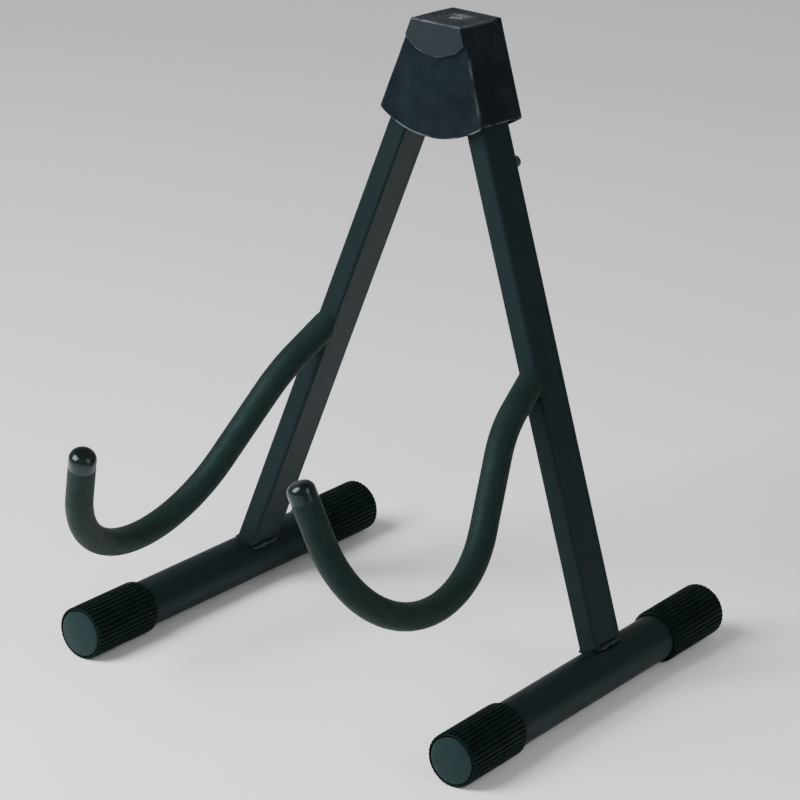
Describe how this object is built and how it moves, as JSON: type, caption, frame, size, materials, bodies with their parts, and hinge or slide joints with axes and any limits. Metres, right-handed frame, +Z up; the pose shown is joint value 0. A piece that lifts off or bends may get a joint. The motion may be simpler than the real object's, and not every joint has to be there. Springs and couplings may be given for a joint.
{
  "type": "folding guitar stand",
  "caption": "A-frame floor stand for a guitar: ribbed-capped foot tubes, flat legs and sleeved J-shaped cradle arms that fold together on rivets inside a moulded head.",
  "frame": {"origin": "on the floor, under the middle of the standing stand", "axes": "+Z up, -Y towards the front, where the arms reach out, +X to the right seen from the front"},
  "size_m": [0.2846, 0.3014, 0.353],
  "materials": {
    "head_plastic": "satin",
    "screw_steel": "polished",
    "bracket_steel": "zinc plated",
    "block_plastic": "moulded",
    "rivet_steel": "plain",
    "bearing_plastic": "natural",
    "frame_paint": "satin powder coat",
    "weld_paint": "painted weld bead",
    "cap_rubber": "moulded ribs",
    "rod_steel": "plain",
    "sleeve_foam": "fine soft skin",
    "tip_plastic": "glossy",
    "button_rubber": "moulded"
  },
  "bodies": {
    "head": {"head_cover": "head_plastic", "cover_screw": "screw_steel", "hinge_bracket": "bracket_steel", "stop_block": "block_plastic", "block_rivet": "rivet_steel", "pivot_rivets": "rivet_steel", "pivot_washers": "bearing_plastic"},
    "left_leg": {"left_leg_tube": "frame_paint", "left_pivot_bushing": "bearing_plastic", "left_foot_tube": "frame_paint", "left_foot_welds": "weld_paint", "left_front_cap": "cap_rubber", "left_rear_cap": "cap_rubber", "left_arm_rod": "rod_steel", "left_arm_weld": "weld_paint", "left_arm_sleeve": "sleeve_foam", "left_arm_tip": "tip_plastic", "left_rear_button": "button_rubber"},
    "right_leg": {"right_leg_tube": "frame_paint", "right_pivot_bushing": "bearing_plastic", "right_foot_tube": "frame_paint", "right_foot_welds": "weld_paint", "right_front_cap": "cap_rubber", "right_rear_cap": "cap_rubber", "right_arm_rod": "rod_steel", "right_arm_weld": "weld_paint", "right_arm_sleeve": "sleeve_foam", "right_arm_tip": "tip_plastic", "right_rear_button": "button_rubber"}
  },
  "joints": [
    {"name": "left_leg_fold", "type": "hinge", "parent": "head", "child": "left_leg", "pos_m": [-0.0158, 0.07405, 0.3208], "axis": [0, -0.9976, 0.0698], "range_deg": [0, 19.4]},
    {"name": "right_leg_fold", "type": "hinge", "parent": "head", "child": "right_leg", "pos_m": [0.0158, 0.07405, 0.3208], "axis": [0, 0.9976, -0.0698], "range_deg": [0, 19.4]}
  ]
}
